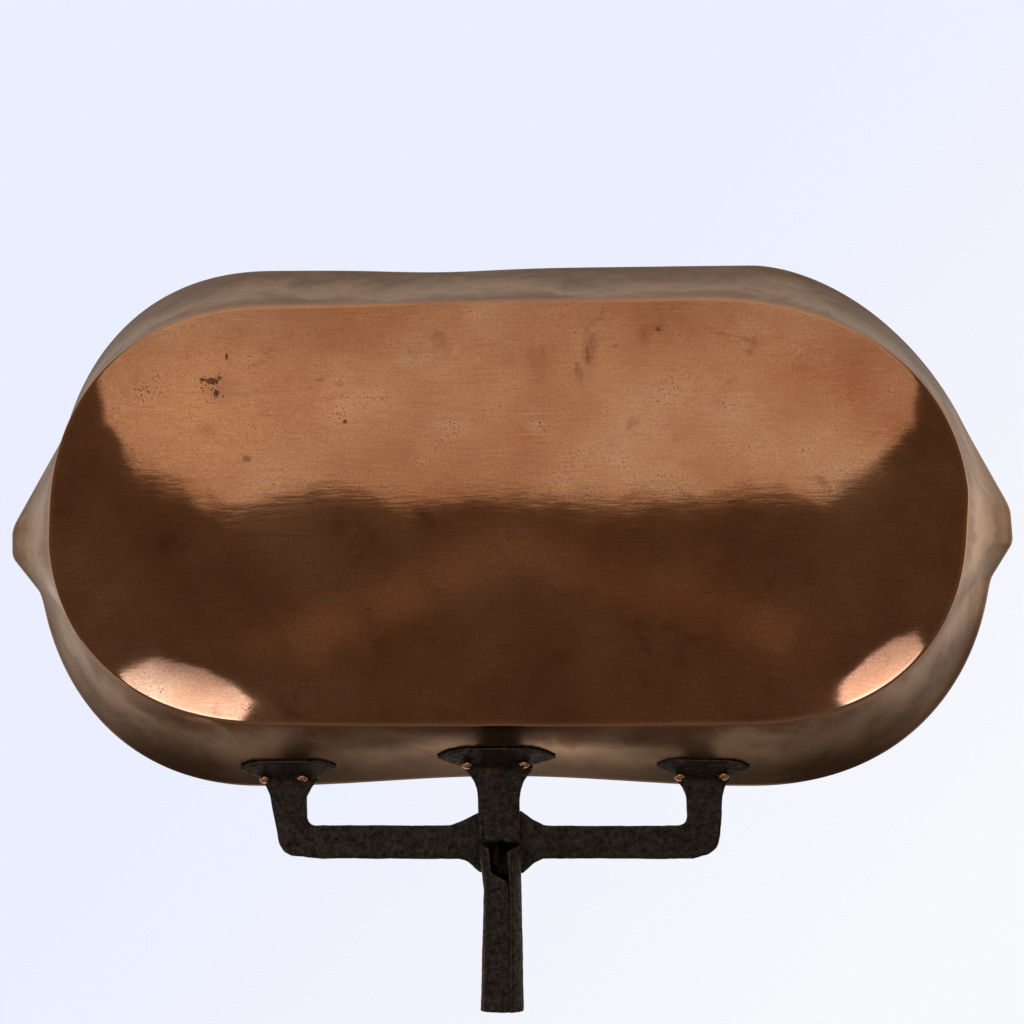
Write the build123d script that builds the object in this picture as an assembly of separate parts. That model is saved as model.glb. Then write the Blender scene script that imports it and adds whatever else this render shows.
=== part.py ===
from build123d import *
import math
import os

# A hammered copper dripping pan with a riveted wrought iron handle, in millimetres.
# The origin is the middle of the flat bottom, +Z points up out of the mouth, +X runs
# along the pan, and the handle reaches out towards -Y.

# The pan: one raised sheet
sheet = 2.0
height = 68.0
edge_rise = 3.0         # the bottom is slightly crowned, so its edge stands this high
flat_inset = 42.0       # how far the flat middle stays inside the bottom's edge
# Each outline is two long sides and two rounded ends, in four quarters. A quarter is a
# superellipse that starts at x = straight, reaches `reach` further out and is `half` wide.
# The folds are where the end's wall turns from the shoulders into the pouring lip, whose
# blunt tip runs from `tip` to `toe`. Bow draws the near long side in.
bottom = dict(
    left_far=dict(straight=146.0, reach=142.5, half=133.4, power=2.25),
    left_near=dict(straight=145.0, reach=144.3, half=133.5, power=2.27),
    right_far=dict(straight=122.0, reach=171.0, half=138.8, power=2.22),
    right_near=dict(straight=145.0, reach=145.8, half=133.5, power=2.28),
    left_lip=dict(far_fold=55.0, near_fold=-72.0, tip=(0.0, 3.0), toe=(0.0, -21.0)),
    right_lip=dict(far_fold=55.0, near_fold=-66.0, tip=(0.0, 12.0), toe=(0.0, -14.0)),
    pours=False,
    bow=-1.1,
)
rim = dict(
    left_far=dict(straight=154.0, reach=147.3, half=173.2, power=2.3),
    left_near=dict(straight=159.5, reach=152.0, half=172.3, power=2.19),
    right_far=dict(straight=167.0, reach=156.0, half=177.0, power=1.78),
    right_near=dict(straight=159.5, reach=164.0, half=172.3, power=2.2),
    left_lip=dict(far_fold=61.0, near_fold=-47.0, tip=(328.5, -3.0), toe=(327.8, -22.0)),
    right_lip=dict(far_fold=63.0, near_fold=-37.0, tip=(336.0, 11.0), toe=(337.0, -12.0)),
    pours=True,
    bow=6.3,
)

# The handle: flat bars forged to about the same thickness
bar = 6.5
lap_z = 59.5            # the yoke lies on the strap at this height
foot = 3.5              # thickness of the riveted feet
yoke_near = -197.5      # the cross bar's two long edges
yoke_out = -219.0
left_leg = (128.8, 149.7)
right_leg = (-139.7, -117.4)
strap_sides = (-9.0, 18.0)
leg_bend = -178.0       # the legs and the strap splay from here towards the wall
into_wall = -150.0      # the bars are drawn to here and trimmed to the wall
inner_fillet = 5.0      # where the legs meet the cross bar's near edge

# Braces beside the strap: x, and how far they stand off the cross bar's two edges
near_brace = ((-26.0, 0.0), (-11.0, 9.0), (19.0, 9.0), (36.0, 0.0))
out_brace = ((28.0, 0.0), (16.0, -8.0), (-10.0, -8.0), (-22.0, 0.0))

# Outer edges of the yoke's two rounded corners: in from the leg, and up from the bar
left_corner = ((0.0, yoke_near - yoke_out), (1.8, 13.0), (3.0, 8.5), (11.0, 1.8))
right_corner = ((7.5, 3.5), (1.0, 12.5), (0.0, yoke_near - yoke_out))

# The strap's flare into its foot: out from its edges, and its place along Y
strap_flare = ((9.0, into_wall), (7.0, -166.0), (2.0, -171.0), (0.0, leg_bend))

# Feet: centre, half width, height of the pointed ends, bulge down and up the wall
side_foot_left = dict(x=140.0, half=32.0, z=48.0, down=9.0, up=17.5)
side_foot_right = dict(x=-127.0, half=31.0, z=47.5, down=9.5, up=17.5)
middle_foot = dict(x=6.0, half=38.5, z=41.0, down=12.5, up=18.0)

# The rolled socket for a wooden pole
socket_x = 2.4
socket_z = 47.0
socket_end = -313.0
socket_start = -228.0   # from here outwards the tube goes all the way round
throat = -208.0         # the tube's wings begin here
bore = 10.3
throat_bore = 3.6       # the bore closes to this at the throat
scarf_rise = 6.0        # how far the slanted mouth reaches past the throat
socket_r_start = 12.3
socket_r_end = 13.7
seam = 1.2
seam_x = -2.0

# Rivets: two through each foot
shank_r = 2.4
head_r = 3.4
head_h = 2.2
tail_r = 4.2
tail_h = 1.2
tail_edge = 0.4         # the inner heads' edges are hammered over by this much
rivet_places = {
    "rivet_left_outer": (156.0, 56.0),
    "rivet_left_inner": (131.8, 55.5),
    "rivet_middle_left": (25.0, 46.5),
    "rivet_middle_right": (-11.5, 46.0),
    "rivet_right_inner": (-112.3, 55.0),
    "rivet_right_outer": (-140.3, 53.0),
}


def quarter(line, end, near):
    return line[("left" if end > 0 else "right") + ("_near" if near else "_far")]


def end_point(line, end, near, turn, out):
    # a point on a rounded end, where turn goes from 0 at the end to 90 degrees at the side
    part = quarter(line, end, near)
    x = part["straight"] + (part["reach"] + out) * math.cos(turn) ** (2 / part["power"])
    y = (part["half"] + out) * math.sin(turn) ** (2 / part["power"])
    return (end * x, -y if near else y)


def turn_at(line, end, near, y, out):
    # the turn at which a rounded end is this far from the middle line
    part = quarter(line, end, near)
    return math.asin((abs(y) / (part["half"] + out)) ** (part["power"] / 2))


def end_arc(line, end, near, start, stop, out):
    steps = 8
    turns = [start + (stop - start) * i / steps for i in range(steps + 1)]
    return [end_point(line, end, near, t, out) for t in turns]


def end_curves(line, end, out):
    # the five stretches of one end, from its far side round to its near side
    lip = line["left_lip" if end > 0 else "right_lip"]
    side = math.pi / 2
    far_fold = turn_at(line, end, False, lip["far_fold"], out)
    near_fold = turn_at(line, end, True, lip["near_fold"], out)
    far_shoulder = end_arc(line, end, False, side, far_fold, out)
    near_shoulder = end_arc(line, end, True, near_fold, side, out)
    if line["pours"]:
        tip = (end * (lip["tip"][0] + out), lip["tip"][1])
        toe = (end * (lip["toe"][0] + out), lip["toe"][1])
        middle = [[far_shoulder[-1], tip], [tip, toe], [toe, near_shoulder[0]]]
    else:
        upper = end_arc(line, end, False, far_fold,
                        turn_at(line, end, False, lip["tip"][1], out), out)
        lower = end_arc(line, end, True,
                        turn_at(line, end, True, lip["toe"][1], out), near_fold, out)
        middle = [upper, [upper[-1], lower[0]], lower]
    return [far_shoulder] + middle + [near_shoulder]


def near_line(line, x):
    # the outline's long side behind the handle, with its bow
    part = line["left_near"]
    return part["half"] - line["bow"] * math.cos(math.pi * x / 2 / part["straight"]) ** 2


def near_side(line, out):
    s = line["left_near"]["straight"]
    steps = 12
    places = [s - 2 * s * i / steps for i in range(steps + 1)]
    return [(x, -near_line(line, x) - out) for x in places]


def section(line, z, out):
    right = end_curves(line, 1, out)
    left = [list(reversed(c)) for c in reversed(end_curves(line, -1, out))]
    runs = right + [near_side(line, out)] + left
    runs.append([left[-1][-1], right[0][0]])
    edges = []
    for run in runs:
        points = [Vector(x, y, z) for x, y in run]
        edges.append(Spline(*points) if len(points) > 2 else Line(*points))
    return Wire(edges)


def shell(levels):
    return Solid.make_loft([section(*level) for level in levels], ruled=True)


spread = rim["left_near"]["half"] - bottom["left_near"]["half"]
lean = spread / (height - edge_rise)                           # run out per unit of rise
slope = math.atan(lean)
across_wall = sheet / math.cos(slope)                          # sheet measured level

outer = shell([
    (bottom, 0.0, -flat_inset),
    (bottom, edge_rise, 0.0),
    (rim, height, 0.0),
])
inner = shell([
    (bottom, sheet, -flat_inset - across_wall),
    (bottom, edge_rise + sheet, lean * sheet - across_wall),
    (rim, height, -across_wall),
])
pan = outer - inner


def wall_y(x, z):
    # the near wall's outer surface
    rise = (z - edge_rise) / (height - edge_rise)
    return -(near_line(bottom, x) + (near_line(rim, x) - near_line(bottom, x)) * rise)


def wall_plane(x, z):
    # a plane on the near wall: its x runs to +X, its y up the wall, its z points outwards
    up = Vector(0, wall_y(x, height) - wall_y(x, edge_rise), height - edge_rise).normalized()
    out = Vector(1, 0, 0).cross(up)
    return Plane(origin=(x, wall_y(x, z), z), x_dir=(1, 0, 0), z_dir=out)


near_wall = max(
    (f for f in outer.faces() if f.center().Y < -120 and abs(f.center().X) < 20),
    key=lambda f: f.area,
)
wall_skin = thicken(near_wall, foot)


def foot_plate(place):
    # a pointed plate that lies on the wall, cut out of a skin that follows it
    half = place["half"]
    with BuildSketch(wall_plane(place["x"], place["z"])) as plate:
        with BuildLine():
            ThreePointArc((-half, 0), (0, -place["down"]), (half, 0))
            Spline(
                (half, 0),
                (0.55 * half, 0.78 * place["up"]),
                (0, place["up"]),
                (-0.55 * half, 0.78 * place["up"]),
                (-half, 0),
            )
        make_face()
    prism = extrude(plate.sketch, amount=3 * foot, both=True)
    return wall_skin & prism


# The yoke: two legs and a cross bar, with a swelling where the strap crosses it
yoke_outline = [(left_leg[1] + 4.5, into_wall), (left_leg[1] + 3.6, leg_bend)]
yoke_outline += [(left_leg[1] - x, yoke_out + y) for x, y in left_corner]
yoke_outline += [(left_leg[0] - 2 * inner_fillet, yoke_out)]
yoke_outline += [(x, yoke_out + y) for x, y in out_brace]
yoke_outline += [(right_leg[1] - 4.0, yoke_out)]
yoke_outline += [(right_leg[0] + x, yoke_out + y) for x, y in right_corner]
yoke_outline += [(right_leg[0] - 1.2, into_wall), (right_leg[1], into_wall)]
yoke_outline += [(right_leg[1], yoke_near + inner_fillet)]
yoke_outline += [(right_leg[1] + inner_fillet, yoke_near)]
yoke_outline += [(x, yoke_near + y) for x, y in near_brace]
yoke_outline += [(left_leg[0] - inner_fillet, yoke_near)]
yoke_outline += [(left_leg[0], yoke_near + inner_fillet)]
yoke_outline += [(left_leg[0] + 0.9, leg_bend), (left_leg[0] + 0.9, into_wall)]
yoke_plan = make_face(Polyline(*yoke_outline, close=True))
yoke_bar = extrude(Pos(0, 0, lap_z) * yoke_plan, amount=bar) - outer
yoke = yoke_bar + foot_plate(side_foot_left) + foot_plate(side_foot_right)

# The strap: flat over the yoke, then rolled into a socket
low, high = strap_sides
strap_stop = socket_start - 3.0
strap_outline = [(high + x, y) for x, y in strap_flare]
strap_outline += [(high, strap_stop), (low, strap_stop)]
strap_outline += [(low - x, y) for x, y in reversed(strap_flare)]
strap_plan = make_face(Polyline(*strap_outline, close=True))
strap_bar = extrude(Pos(0, 0, lap_z - bar) * strap_plan, amount=bar) - outer

tube_length = throat - socket_end
taper = (socket_r_end - socket_r_start) / (socket_start - socket_end)
mouth_plane = Plane(origin=(socket_x, socket_end, socket_z), x_dir=(1, 0, 0), z_dir=(0, 1, 0))
throat_r = socket_r_end - taper * tube_length
tube_align = (Align.CENTER, Align.CENTER, Align.MIN)
tube = mouth_plane * Cone(socket_r_end, throat_r, tube_length, align=tube_align)

# the wings rise from the strap's edges, so the tube starts with a slanted mouth
with BuildSketch(Plane.YZ.offset(socket_x)) as scarf:
    Polygon(
        (throat + 1.0, lap_z - bar + 1.0),
        (socket_start, socket_z - socket_r_start - 0.5),
        (socket_start, socket_z - 2 * socket_r_end),
        (throat + scarf_rise, socket_z - 2 * socket_r_end),
        (throat + scarf_rise, lap_z - bar + 1.0),
        align=None,
    )
wings = tube - extrude(scarf.sketch, amount=2 * socket_r_end, both=True)
bore_length = socket_start - socket_end
hole = mouth_plane * Cylinder(bore, bore_length, align=tube_align)
throat_plane = mouth_plane.offset(bore_length)
hole += throat_plane * Cone(bore, throat_bore, throat - socket_start, align=tube_align)
# the floor of the strap stays whole above the throat
slit = Pos(seam_x, (socket_end + socket_start) / 2, socket_z - socket_r_end) * Box(
    seam, bore_length + 30.0, 2 * (socket_r_end - 0.5 * bore)
)
strap = strap_bar + wings - hole - slit + foot_plate(middle_foot)


def rivet(x, z):
    # a domed head on the foot, a shank through foot and wall, a flat head inside
    ball = (head_r ** 2 + head_h ** 2) / 2 / head_h
    half_turn = math.asin(head_r / ball) / 2
    drop = ball * (1 - math.cos(half_turn))
    with BuildSketch(Plane.XZ) as profile:
        with BuildLine():
            Polyline((0, -sheet - tail_h), (tail_r - tail_edge, -sheet - tail_h),
                     (tail_r, -sheet - tail_h / 2), (tail_r, -sheet),
                     (shank_r, -sheet), (shank_r, foot), (head_r, foot))
            ThreePointArc((head_r, foot),
                          (ball * math.sin(half_turn), foot + head_h - drop),
                          (0, foot + head_h))
            Line((0, foot + head_h), (0, -sheet - tail_h))
        make_face()
    return wall_plane(x, z) * revolve(profile.sketch, Axis.Z)


def shank_hole(x, z):
    length = 4 * (sheet + foot)
    return wall_plane(x, z) * Cylinder(shank_r, length)


for name, place in rivet_places.items():
    opening = shank_hole(*place)
    pan -= opening
    if "middle" in name:
        strap -= opening
    else:
        yoke -= opening

# each rivet's heads are hammered down to the curved foot and wall
rivets = {}
for name, place in rivet_places.items():
    held = strap if "middle" in name else yoke
    rivets[name] = rivet(*place) - pan - held

nodes = {"pan": pan, "yoke": yoke, "socket_strap": strap, **rivets}
os.makedirs("parts", exist_ok=True)
for name, solid in nodes.items():
    solid.label = name
    export_step(solid, f"parts/{name}.step")
    box = solid.bounding_box()
    print(name, "volume", round(solid.volume / 1000, 2), "cm3, box",
          [round(v, 1) for v in (*box.min, *box.max)], "valid", solid.is_valid)
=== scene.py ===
import bmesh
import bpy
import math
from bisect import bisect_left
from mathutils import Matrix, Quaternion, Vector, noise


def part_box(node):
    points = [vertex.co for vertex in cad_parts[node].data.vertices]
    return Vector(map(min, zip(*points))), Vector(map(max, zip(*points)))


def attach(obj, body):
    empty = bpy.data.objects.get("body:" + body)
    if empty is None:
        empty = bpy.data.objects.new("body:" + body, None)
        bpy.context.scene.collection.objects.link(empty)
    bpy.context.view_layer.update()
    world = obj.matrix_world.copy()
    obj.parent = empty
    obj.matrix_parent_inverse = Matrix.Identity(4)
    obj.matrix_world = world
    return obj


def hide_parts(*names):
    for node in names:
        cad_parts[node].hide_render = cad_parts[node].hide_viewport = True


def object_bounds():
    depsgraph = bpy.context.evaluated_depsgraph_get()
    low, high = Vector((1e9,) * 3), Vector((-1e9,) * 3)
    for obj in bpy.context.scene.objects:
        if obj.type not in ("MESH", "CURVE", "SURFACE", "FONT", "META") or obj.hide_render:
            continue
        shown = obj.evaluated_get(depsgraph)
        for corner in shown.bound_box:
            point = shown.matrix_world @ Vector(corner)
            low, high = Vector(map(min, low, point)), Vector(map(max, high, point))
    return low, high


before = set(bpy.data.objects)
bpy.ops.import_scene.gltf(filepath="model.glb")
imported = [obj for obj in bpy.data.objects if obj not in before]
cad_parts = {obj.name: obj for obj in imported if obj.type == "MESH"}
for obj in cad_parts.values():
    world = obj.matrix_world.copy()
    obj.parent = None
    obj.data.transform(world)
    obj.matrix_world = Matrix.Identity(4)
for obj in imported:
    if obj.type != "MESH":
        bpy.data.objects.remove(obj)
cadLow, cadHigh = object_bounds()
panLow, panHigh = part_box("pan")
mm = 0.001
print("frame loaded, pan", [round(v, 4) for v in (*panLow, *panHigh)])


def linear(hexColour):
    # sRGB hex to the linear colour that a shader takes
    parts = [int(hexColour[i:i + 2], 16) / 255 for i in (1, 3, 5)]
    return (*[c / 12.92 if c <= 0.04045 else ((c + 0.055) / 1.055) ** 2.4 for c in parts], 1.0)


def perSize(size):
    # a pattern's scale, from the size in mm of what repeats in it
    return 1 / (size * mm)


def addNode(tree, kind, settings=None, links=None):
    # settings are inputs by name or number, the node's own properties, or a ramp's stops
    node = tree.nodes.new(kind)
    for name, value in (settings or {}).items():
        if name == "stops":
            elements = node.color_ramp.elements
            for i, (place, colour) in ((0, value[0]), (1, value[-1])):
                elements[i].position, elements[i].color = place, linear(colour)
            for place, colour in value[1:-1]:
                elements.new(place).color = linear(colour)
        elif isinstance(name, int) or name in node.inputs:
            node.inputs[name].default_value = value
        else:
            setattr(node, name, value)
    for name, source in (links or {}).items():
        tree.links.new(source, node.inputs[name])
    return node


def newMaterial(name):
    material = bpy.data.materials.new(name)
    material.use_nodes = True
    material.node_tree.nodes.clear()
    return material, material.node_tree


def smoothStep(value):
    value = min(1.0, max(0.0, value))
    return value * value * (3 - 2 * value)


def addObject(name, mesh):
    piece = bpy.data.objects.new(name, mesh)
    bpy.context.scene.collection.objects.link(piece)
    return piece


def applyModifiers(piece):
    graph = bpy.context.evaluated_depsgraph_get()
    mesh = bpy.data.meshes.new_from_object(piece.evaluated_get(graph))
    piece.modifiers.clear()
    piece.data = mesh
    return piece


def shadeSmooth(mesh):
    mesh.polygons.foreach_set("use_smooth", [True] * len(mesh.polygons))
    mesh.update()


def settle(piece, nodeNames, finish):
    # what every piece needs: its finish, its body and the nodes it stands for
    if not piece.data.materials:
        piece.data.materials.append(finish)
    shadeSmooth(piece.data)
    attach(piece, "root")
    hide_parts(*nodeNames)


# the pan's outlines, in metres: four superellipse quarters between straight long sides
bottomLine = {
    "leftFar": {"straight": 0.1460, "reach": 0.1425, "half": 0.1334, "power": 2.25},
    "leftNear": {"straight": 0.1450, "reach": 0.1443, "half": 0.1335, "power": 2.27},
    "rightFar": {"straight": 0.1220, "reach": 0.1710, "half": 0.1388, "power": 2.22},
    "rightNear": {"straight": 0.1450, "reach": 0.1458, "half": 0.1335, "power": 2.28},
    "leftLip": {"farFold": 0.055, "nearFold": -0.072, "tip": (0.0, 0.003), "toe": (0.0, -0.021)},
    "rightLip": {"farFold": 0.055, "nearFold": -0.066, "tip": (0.0, 0.012), "toe": (0.0, -0.014)},
    "pours": False, "bow": -0.0011,
    "dip": {"deep": 0.0, "x": 0.045, "spread": 0.05},
}
rimLine = {
    "leftFar": {"straight": 0.1540, "reach": 0.1473, "half": 0.1732, "power": 2.3},
    "leftNear": {"straight": 0.1595, "reach": 0.1520, "half": 0.1723, "power": 2.19},
    "rightFar": {"straight": 0.1670, "reach": 0.1560, "half": 0.1770, "power": 1.78},
    "rightNear": {"straight": 0.1595, "reach": 0.1640, "half": 0.1723, "power": 2.2},
    "leftLip": {"farFold": 0.061, "nearFold": -0.047, "tip": (0.3285, -0.003), "toe": (0.3278, -0.022)},
    "rightLip": {"farFold": 0.063, "nearFold": -0.037, "tip": (0.3360, 0.011), "toe": (0.3370, -0.012)},
    "pours": True, "bow": 0.0063,
    "dip": {"deep": 0.0022, "x": 0.045, "spread": 0.05},   # a low place in the long side away from the handle
}


def quarterOf(line, end, near):
    return line[("left" if end > 0 else "right") + ("Near" if near else "Far")]


def endPoint(line, end, near, turn):
    part = quarterOf(line, end, near)
    across = max(0.0, math.cos(turn)) ** (2 / part["power"])
    x = part["straight"] + part["reach"] * across
    y = part["half"] * math.sin(turn) ** (2 / part["power"])
    return Vector((end * x, -y if near else y))


def turnAt(line, end, near, y):
    part = quarterOf(line, end, near)
    return math.asin((abs(y) / part["half"]) ** (part["power"] / 2))


def nearLine(line, x):
    # how far the long side behind the handle is from the middle, with its bow
    part = line["leftNear"]
    return part["half"] - line["bow"] * math.cos(math.pi * x / 2 / part["straight"]) ** 2


def outlinePoint(line, stretch, k):
    # twelve stretches, clockwise from the left end's far shoulder; k runs 0 to 1 along one
    if stretch == 5:
        x = line["leftNear"]["straight"] * (1 - 2 * k)
        return Vector((x, -nearLine(line, x)))
    if stretch == 11:
        start = endPoint(line, -1, False, math.pi / 2)
        place = start.lerp(endPoint(line, 1, False, math.pi / 2), k)
        dip = line["dip"]
        place.y -= dip["deep"] * math.exp(-((place.x - dip["x"]) / dip["spread"]) ** 2)
        return place
    end = 1
    if stretch > 5:
        end, stretch, k = -1, 10 - stretch, 1 - k
    lip = line["leftLip" if end > 0 else "rightLip"]
    side = math.pi / 2
    farFold = turnAt(line, end, False, lip["farFold"])
    nearFold = turnAt(line, end, True, lip["nearFold"])
    if stretch == 0:
        return endPoint(line, end, False, side + (farFold - side) * k)
    if stretch == 4:
        return endPoint(line, end, True, nearFold + (side - nearFold) * k)
    if line["pours"]:
        corners = [
            endPoint(line, end, False, farFold),
            Vector((end * lip["tip"][0], lip["tip"][1])),
            Vector((end * lip["toe"][0], lip["toe"][1])),
            endPoint(line, end, True, nearFold),
        ]
        return corners[stretch - 1].lerp(corners[stretch], k)
    topTurn = turnAt(line, end, False, lip["tip"][1])
    toeTurn = turnAt(line, end, True, lip["toe"][1])
    if stretch == 1:
        return endPoint(line, end, False, farFold + (topTurn - farFold) * k)
    if stretch == 3:
        return endPoint(line, end, True, toeTurn + (nearFold - toeTurn) * k)
    top = endPoint(line, end, False, topTurn)
    return top.lerp(endPoint(line, end, True, toeTurn), k)


def measureOutline(line, samples=40):
    # running length along the outline, from the middle of the far side and clockwise
    marks, length, last = [], 0.0, None
    order = [(11, 0.5, 1.0)] + [(i, 0.0, 1.0) for i in range(11)] + [(11, 0.0, 0.5)]
    for stretch, start, stop in order:
        for i in range(samples + 1):
            k = start + (stop - start) * i / samples
            point = outlinePoint(line, stretch, k)
            length += (point - last).length if last is not None else 0.0
            last = point
            marks.append((length, stretch, k))
    return [(m / length, stretch, k) for m, stretch, k in marks]


outlineMarks = measureOutline(bottomLine)
markShares = [m[0] for m in outlineMarks]


def stationAt(share):
    # the stretch and the place along it, a given share of the way round
    share = share % 1.0
    i = min(max(bisect_left(markShares, share), 1), len(markShares) - 1)
    low, high = outlineMarks[i - 1], outlineMarks[i]
    if low[1] != high[1] or high[0] == low[0]:
        return high[1], high[2]
    t = (share - low[0]) / (high[0] - low[0])
    return high[1], low[2] + (high[2] - low[2]) * t


def wallPlace(share, rise):
    # a point of the outer wall; rise is 0 at the bottom's edge and 1 at the rim
    place = Vector((0.0, 0.0))
    steps = (-2, -1, 0, 1, 2)
    for step in steps:
        # neighbours are averaged, so hammered corners are never knife sharp
        stretch, k = stationAt(share + step * panSpec["cornerSoft"])
        low = outlinePoint(bottomLine, stretch, k)
        place += low.lerp(outlinePoint(rimLine, stretch, k), rise) / len(steps)
    return place


# the pan's sheet, its hammer marks, its lips and its rim
panSpec = {
    "sheet": 2.0 * mm,
    "edgeRise": 3.0 * mm,        # height of the bottom's crisp edge over its flat middle
    "margin": 52.0 * mm,         # the bottom starts to rise this far inside its edge
    "cellsLong": 196, "cellsWide": 92,
    "cornerShare": 0.16,         # where the grid's corners sit on the outline
    "wallRings": 27,
    "edgeRound": 1.4 * mm,
    "cornerSoft": 0.0016,        # as a share of the way round
    "turnStep": 0.0008,          # the share over which the outline's direction is taken
    "dentSize": 17.0 * mm,       # spacing of the planishing hammer's marks
    "dentDepthBottom": 0.05 * mm,
    "dentDepthWall": 0.22 * mm,
    "waveSize": 95.0 * mm,
    "waveDepthBottom": 0.22 * mm,
    "waveDepthWall": 0.8 * mm,
    "wallFrom": 2.0 * mm, "wallOver": 8.0 * mm,    # heights where the wall's marks take over
    "rimCalm": 0.7, "rimDeep": 6.0 * mm,           # the marks fade near the rim
    "feetCalm": 0.8, "feetReach": 170.0 * mm, "feetFade": 30.0 * mm,   # and behind the feet
    "wallHollow": 0.9 * mm, "lipHollow": 2.6 * mm,
    "lipFrom": 270.0 * mm, "lipOver": 50.0 * mm,   # where the wall deepens into the lips
    "rimRub": 0.55 * mm, "rimTurn": math.radians(70),
}
dentLevel = 0.3                  # where a hammer mark's middle and its ridges balance


def shareOfTurn(turn):
    # spreads the grid's edge evenly: turn goes clockwise, 0 at the far side's middle
    quarter, rest = divmod(turn % 1.0, 0.25)
    corner = panSpec["cornerShare"]
    first = corner if int(quarter) % 2 == 0 else 0.25 - corner
    second = 0.25 - first
    part = rest / 0.125
    return quarter * 0.25 + (part * first if part < 1 else first + (part - 1) * second)


def dent(place, size):
    # shallow overlapping hammer marks: the square of the distance to the nearest blow
    near = noise.voronoi(place / size)[0][0]
    return near * near - dentLevel


def outwardAt(share):
    # the outline's outward direction at its bottom edge
    step = panSpec["turnStep"]
    ahead, behind = wallPlace(share + step, 0.0), wallPlace(share - step, 0.0)
    along = (ahead - behind).normalized()
    return Vector((-along.y, along.x))


def makePan(outerFinish, innerFinish):
    spec = panSpec
    bm = bmesh.new()
    shares = bm.verts.layers.float.new("share")
    bmesh.ops.create_grid(bm, x_segments=spec["cellsLong"], y_segments=spec["cellsWide"], size=1)
    for v in bm.verts:
        u, w = v.co.x, v.co.y
        p, q = u * math.sqrt(1 - w * w / 2), w * math.sqrt(1 - u * u / 2)
        radius = math.hypot(p, q)
        turn = (0.25 - math.atan2(q, p) / math.tau) % 1.0
        v[shares] = shareOfTurn(turn)
        edge = wallPlace(v[shares], 0.0)
        edge = edge - outwardAt(v[shares]) * spec["edgeRound"]
        fromEdge = (1 - radius) * edge.length
        lift = max(0.0, 1 - fromEdge / spec["margin"]) ** 2
        v.co = Vector((*(edge * radius), spec["edgeRise"] * lift))
    # the crisp edge is turned by three rings, then the wall rises to the rim
    tall = panHigh.z - spec["edgeRise"]
    turned = spec["edgeRound"] / tall
    rings = [("edge", 1 / 3), ("edge", 2 / 3), ("edge", 1.0)]
    count = spec["wallRings"]
    rings += [("wall", turned + (1 - turned) * ring / count) for ring in range(1, count + 1)]
    edges = [e for e in bm.edges if e.is_boundary]
    for kind, place in rings:
        made = bmesh.ops.extrude_edge_only(bm, edges=edges)["geom"]
        edges = [g for g in made if isinstance(g, bmesh.types.BMEdge) and g.is_boundary]
        for v in {v for e in edges for v in e.verts}:
            share = v[shares]
            if kind == "wall":
                v.co = Vector((*wallPlace(share, place), spec["edgeRise"] + tall * place))
                continue
            fold = Vector((*wallPlace(share, 0.0), spec["edgeRise"]))
            start = fold - Vector((*outwardAt(share), 0.0)) * spec["edgeRound"]
            stop = Vector((*wallPlace(share, turned), spec["edgeRise"] + spec["edgeRound"]))
            v.co = start.lerp(fold, place).lerp(fold.lerp(stop, place), place)
    bmesh.ops.recalc_face_normals(bm, faces=bm.faces)
    bm.normal_update()
    middle = min(bm.faces, key=lambda f: f.calc_center_median().length)
    if middle.normal.z > 0:
        bmesh.ops.reverse_faces(bm, faces=bm.faces)
    bm.normal_update()
    hammer(bm)
    mesh = bpy.data.meshes.new("pan_shell")
    bm.to_mesh(mesh)
    bm.free()
    # the sheet's outer face takes the first finish and its inner face the second
    mesh.materials.append(outerFinish)
    mesh.materials.append(innerFinish)
    pan = addObject("pan_shell", mesh)
    thick = pan.modifiers.new("sheet", "SOLIDIFY")
    thick.thickness = spec["sheet"]
    thick.offset = -1
    thick.use_even_offset = False
    thick.material_offset = 1
    applyModifiers(pan)
    for v in pan.data.vertices:
        # the rim is filed level
        v.co.z = min(v.co.z, panHigh.z)
    soft = pan.modifiers.new("rubbed rim", "BEVEL")
    soft.width = spec["rimRub"]
    soft.segments = 2
    soft.limit_method = "ANGLE"
    soft.angle_limit = spec["rimTurn"]
    return pan


def hammer(bm):
    # every mark goes inwards, so the pan keeps its outside size
    spec = panSpec
    moves = {}
    for v in bm.verts:
        place = v.co
        wallPart = smoothStep((place.z - spec["wallFrom"]) / spec["wallOver"])
        depth = spec["dentDepthBottom"] * (1 - wallPart) + spec["dentDepthWall"] * wallPart
        wave = spec["waveDepthBottom"] * (1 - wallPart) + spec["waveDepthWall"] * wallPart
        atRim = smoothStep((place.z - panHigh.z + spec["rimDeep"]) / spec["rimDeep"])
        # the wall stays true behind the riveted feet
        pastFeet = smoothStep((abs(place.x) - spec["feetReach"]) / spec["feetFade"])
        atFeet = spec["feetCalm"] * wallPart * (1 - pastFeet) * (place.y < 0)
        calm = (1 - spec["rimCalm"] * atRim) * (1 - atFeet)
        move = depth * dent(place, spec["dentSize"]) * calm
        move += wave * (noise.noise(place / spec["waveSize"]) - 0.5) * calm
        # the wall is a little hollow between its edge and its rim
        rise = min(1.0, max(0.0, (place.z - spec["edgeRise"]) / (panHigh.z - spec["edgeRise"])))
        lip = smoothStep((abs(place.x) - spec["lipFrom"]) / spec["lipOver"])
        hollow = spec["wallHollow"] * (1 - atFeet) + spec["lipHollow"] * lip
        move -= hollow * 4 * rise * (1 - rise)
        moves[v] = v.normal * min(move, 0.0)
    for v, move in moves.items():
        v.co += move
        v.co.z = min(max(v.co.z, 0.0), panHigh.z)


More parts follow.
